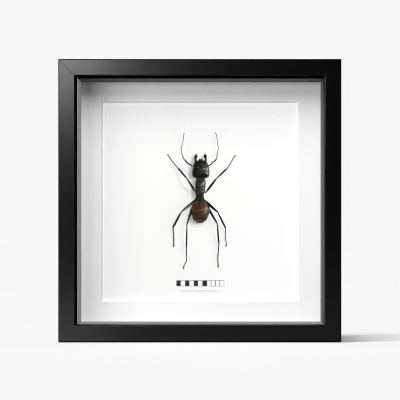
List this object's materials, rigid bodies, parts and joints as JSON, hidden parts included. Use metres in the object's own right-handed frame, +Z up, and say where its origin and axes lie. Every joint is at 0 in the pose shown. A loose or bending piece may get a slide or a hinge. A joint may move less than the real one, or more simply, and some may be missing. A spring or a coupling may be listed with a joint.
{
  "type": "framed giant ant",
  "caption": "Dried giant ant with spread legs, mounted on a white board behind a window mat and glass in a small square black box frame.",
  "frame": {"origin": "middle of the base, on the surface that the frame stands on", "axes": "+Z up, +X to the right as the glass is looked at, the glass faces -Y, +Y is the depth of the frame towards its back"},
  "size_m": [0.125, 0.03, 0.125],
  "materials": {
    "black_paint": "smooth satin black paint on wood",
    "black_liner": "satin black spacer strip",
    "clear_glass": "clear polished float glass, faintly green at its edges",
    "window_mat": "smooth white card with a pale core at its bevel",
    "mount_board": "smooth white card with a small printed scale bar",
    "fibreboard": "brown fibreboard",
    "zinc_steel": "zinc-plated steel",
    "black_chitin": "semi-gloss black chitin with fine grain, brown at the feet and feelers",
    "brown_chitin": "red-brown glossy chitin, darker towards the tip"
  },
  "bodies": {
    "root": {"rail_top": "black_paint", "spacer_top": "black_liner", "rail_bottom": "black_paint", "spacer_bottom": "black_liner", "rail_left": "black_paint", "spacer_left": "black_liner", "rail_right": "black_paint", "spacer_right": "black_liner", "glass": "clear_glass", "mat": "window_mat", "mount_board": "mount_board", "back_panel": "fibreboard", "tab_top_left": "zinc_steel", "tab_top_right": "zinc_steel", "tab_bottom_left": "zinc_steel", "tab_bottom_right": "zinc_steel", "tab_left_upper": "zinc_steel", "tab_left_lower": "zinc_steel", "tab_right_upper": "zinc_steel", "tab_right_lower": "zinc_steel", "hanger": "zinc_steel", "hanger_nail_left": "zinc_steel", "hanger_nail_right": "zinc_steel", "ant_head": "black_chitin", "ant_mandible_left": "black_chitin", "ant_mandible_right": "black_chitin", "ant_antenna_left": "black_chitin", "ant_antenna_right": "black_chitin", "ant_thorax": "black_chitin", "ant_waist": "black_chitin", "ant_leg_front_left": "black_chitin", "ant_leg_front_right": "black_chitin", "ant_leg_middle_left": "black_chitin", "ant_leg_middle_right": "black_chitin", "ant_leg_hind_left": "black_chitin", "ant_leg_hind_right": "black_chitin", "ant_gaster": "brown_chitin"}
  },
  "joints": []
}
